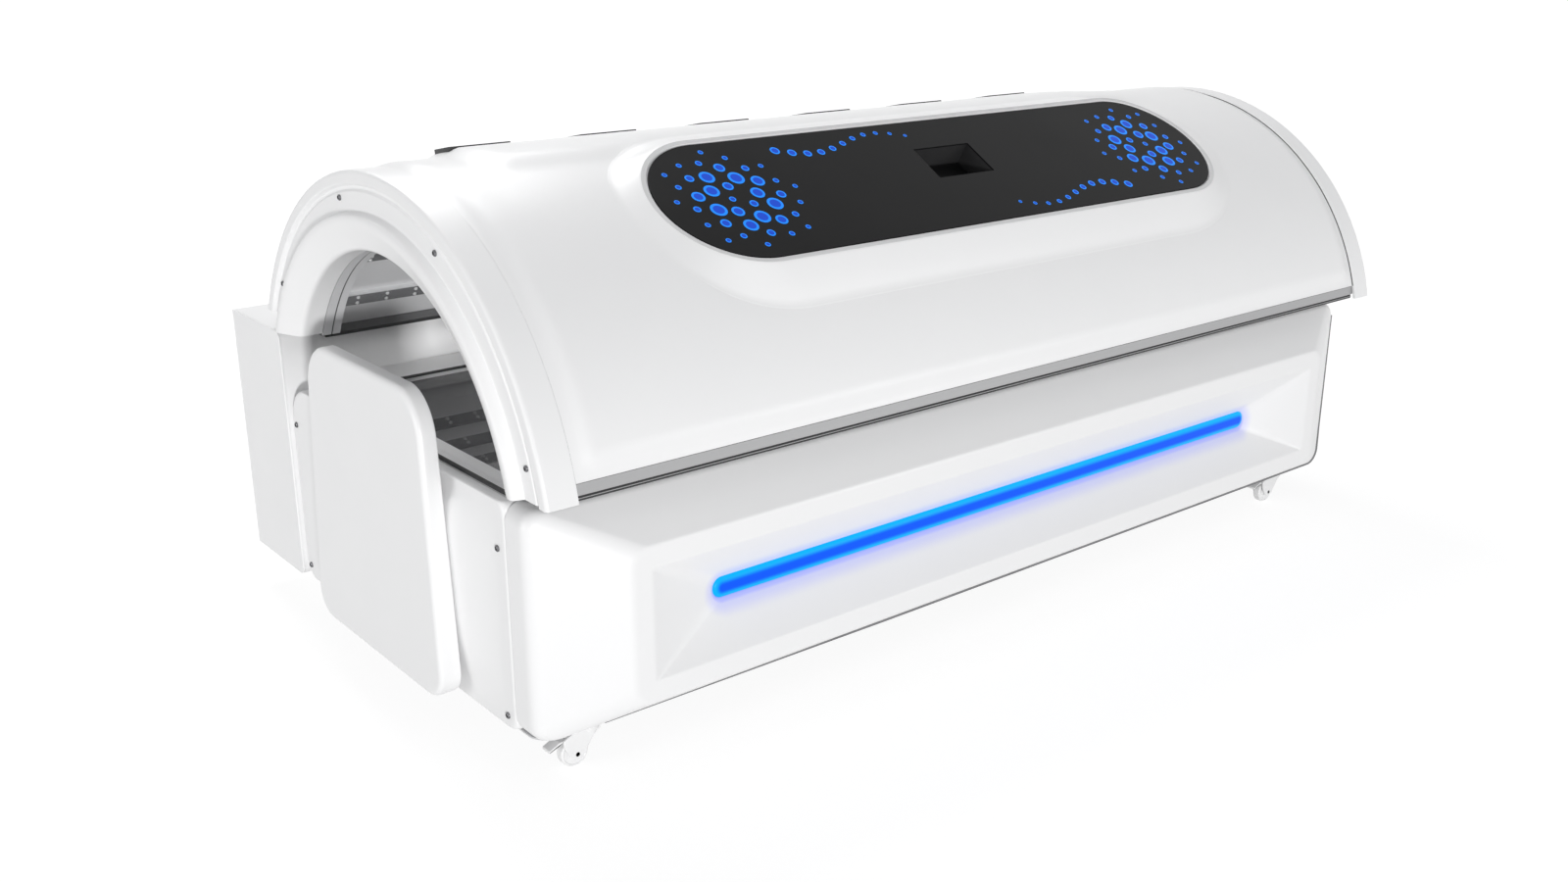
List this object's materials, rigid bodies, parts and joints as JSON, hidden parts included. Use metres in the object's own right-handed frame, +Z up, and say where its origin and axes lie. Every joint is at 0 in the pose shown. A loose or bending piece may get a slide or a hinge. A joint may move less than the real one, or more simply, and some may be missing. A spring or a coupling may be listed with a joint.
{
  "type": "red light therapy bed",
  "caption": "Clamshell light therapy bed: lamp-lined half-round canopy hinged over a dished lying tub, with end shields, lit front bar, rear hinge box and casters.",
  "frame": {"origin": "middle of the footprint on the floor", "axes": "+X along the bed towards its far end, +Y towards the hinge box at the rear, +Z up; the open front faces -Y"},
  "size_m": [2.2218, 1.1756, 0.9259],
  "materials": {
    "white_gloss": "white gloss moulding",
    "white_base": "white gloss moulding",
    "aluminium": "satin",
    "black_gloss": "gloss black",
    "black_matt": "fine matt",
    "rubber": "matt",
    "steel": "powder coat",
    "bright_steel": "polished",
    "reflector": "brushed reflector",
    "smoked": "smoked clear sheet",
    "blue_lens": "lit blue diffuser",
    "caster": "white nylon"
  },
  "bodies": {
    "base": {"base_floor_pan": "steel", "base_frame": "aluminium", "base_front_fascia": "white_base", "light_bar_lens": "blue_lens", "light_bar_channel": "aluminium", "base_end_cap_near": "white_base", "base_end_cap_far": "white_base", "end_shield_near": "white_gloss", "end_shield_far": "white_gloss", "bed_rim": "white_base", "bed_clear_sheet": "smoked", "bed_lamp_tray": "reflector", "rim_gasket": "rubber", "canopy_rest_strip": "rubber", "hinge_box": "white_base", "rear_cover": "white_base", "power_inlet": "black_matt", "hinge_bracket_near": "steel", "hinge_bracket_far": "steel", "strut_barrel_near": "black_matt", "strut_barrel_far": "black_matt"},
    "canopy": {"canopy_shell": "white_gloss", "end_ring_near": "white_gloss", "end_ring_far": "white_gloss", "canopy_front_rail": "aluminium", "canopy_rear_rail": "black_matt", "canopy_lamp_liner": "reflector", "canopy_clear_sheet": "smoked", "control_panel": "black_gloss", "display_pocket": "black_matt", "display_screen": "black_gloss", "fan_channel": "steel", "hinge_arm_near": "steel", "hinge_arm_far": "steel", "vent_grille_1": "black_matt", "vent_grille_2": "black_matt", "vent_grille_3": "black_matt", "vent_grille_4": "black_matt", "vent_grille_5": "black_matt", "vent_grille_6": "black_matt"},
    "fan_1": {"fan_rotor_1": "black_matt"},
    "fan_2": {"fan_rotor_2": "black_matt"},
    "fan_3": {"fan_rotor_3": "black_matt"},
    "fan_4": {"fan_rotor_4": "black_matt"},
    "fan_5": {"fan_rotor_5": "black_matt"},
    "fan_6": {"fan_rotor_6": "black_matt"},
    "caster_front_near": {"caster_fork_front_near": "caster"},
    "wheel_front_near": {"caster_wheel_front_near": "caster"},
    "pedal_front_near": {"caster_pedal_front_near": "caster"},
    "caster_front_far": {"caster_fork_front_far": "caster"},
    "wheel_front_far": {"caster_wheel_front_far": "caster"},
    "pedal_front_far": {"caster_pedal_front_far": "caster"},
    "caster_rear_near": {"caster_fork_rear_near": "caster"},
    "wheel_rear_near": {"caster_wheel_rear_near": "caster"},
    "caster_rear_far": {"caster_fork_rear_far": "caster"},
    "wheel_rear_far": {"caster_wheel_rear_far": "caster"},
    "strut_rod_near": {"strut_rod_near": "bright_steel"},
    "strut_rod_far": {"strut_rod_far": "bright_steel"}
  },
  "joints": [
    {"name": "canopy_hinge", "type": "hinge", "parent": "base", "child": "canopy", "pos_m": [0, 0.47119, 0.47], "axis": [-1, 0, 0], "range_deg": [0, 40]},
    {"name": "fan_spin_1", "type": "hinge", "parent": "canopy", "child": "fan_1", "pos_m": [-0.8197, 0.01913, 0.86563], "axis": [0, 0.1891, 0.982], "continuous": true},
    {"name": "fan_spin_2", "type": "hinge", "parent": "canopy", "child": "fan_2", "pos_m": [-0.5597, 0.01913, 0.86563], "axis": [0, 0.1891, 0.982], "continuous": true},
    {"name": "fan_spin_3", "type": "hinge", "parent": "canopy", "child": "fan_3", "pos_m": [-0.2997, 0.01913, 0.86563], "axis": [0, 0.1891, 0.982], "continuous": true},
    {"name": "fan_spin_4", "type": "hinge", "parent": "canopy", "child": "fan_4", "pos_m": [-0.0397, 0.01913, 0.86563], "axis": [0, 0.1891, 0.982], "continuous": true},
    {"name": "fan_spin_5", "type": "hinge", "parent": "canopy", "child": "fan_5", "pos_m": [0.2203, 0.01913, 0.86563], "axis": [0, 0.1891, 0.982], "continuous": true},
    {"name": "fan_spin_6", "type": "hinge", "parent": "canopy", "child": "fan_6", "pos_m": [0.4803, 0.01913, 0.86563], "axis": [0, 0.1891, 0.982], "continuous": true},
    {"name": "caster_swivel_front_near", "type": "hinge", "parent": "base", "child": "caster_front_near", "pos_m": [-0.94, -0.46681, 0.0747], "axis": [0, 0, 1], "continuous": true},
    {"name": "wheel_spin_front_near", "type": "hinge", "parent": "caster_front_near", "child": "wheel_front_near", "pos_m": [-0.968, -0.46681, 0.025], "axis": [0, 1, 0], "continuous": true},
    {"name": "brake_pedal_front_near", "type": "hinge", "parent": "caster_front_near", "child": "pedal_front_near", "pos_m": [-0.986, -0.46681, 0.05], "axis": [0, -1, 0], "range_deg": [0, 10]},
    {"name": "caster_swivel_front_far", "type": "hinge", "parent": "base", "child": "caster_front_far", "pos_m": [0.94, -0.46681, 0.0747], "axis": [0, 0, 1], "continuous": true},
    {"name": "wheel_spin_front_far", "type": "hinge", "parent": "caster_front_far", "child": "wheel_front_far", "pos_m": [0.912, -0.46681, 0.025], "axis": [0, 1, 0], "continuous": true},
    {"name": "brake_pedal_front_far", "type": "hinge", "parent": "caster_front_far", "child": "pedal_front_far", "pos_m": [0.894, -0.46681, 0.05], "axis": [0, -1, 0], "range_deg": [0, 10]},
    {"name": "caster_swivel_rear_near", "type": "hinge", "parent": "base", "child": "caster_rear_near", "pos_m": [-0.94, 0.28619, 0.0747], "axis": [0, 0, 1], "continuous": true},
    {"name": "wheel_spin_rear_near", "type": "hinge", "parent": "caster_rear_near", "child": "wheel_rear_near", "pos_m": [-0.968, 0.28619, 0.025], "axis": [0, 1, 0], "continuous": true},
    {"name": "caster_swivel_rear_far", "type": "hinge", "parent": "base", "child": "caster_rear_far", "pos_m": [0.94, 0.28619, 0.0747], "axis": [0, 0, 1], "continuous": true},
    {"name": "wheel_spin_rear_far", "type": "hinge", "parent": "caster_rear_far", "child": "wheel_rear_far", "pos_m": [0.912, 0.28619, 0.025], "axis": [0, 1, 0], "continuous": true},
    {"name": "strut_slide_near", "type": "slide", "parent": "base", "child": "strut_rod_near", "axis": [0, 0, 1], "range_m": [0, 0.0412]},
    {"name": "strut_slide_far", "type": "slide", "parent": "base", "child": "strut_rod_far", "axis": [0, 0, 1], "range_m": [0, 0.0412]}
  ],
  "couplings": [
    {"joint": "strut_slide_near", "follows": "canopy_hinge", "m_per_rad": 0.05879},
    {"joint": "strut_slide_far", "follows": "canopy_hinge", "m_per_rad": 0.05879}
  ]
}
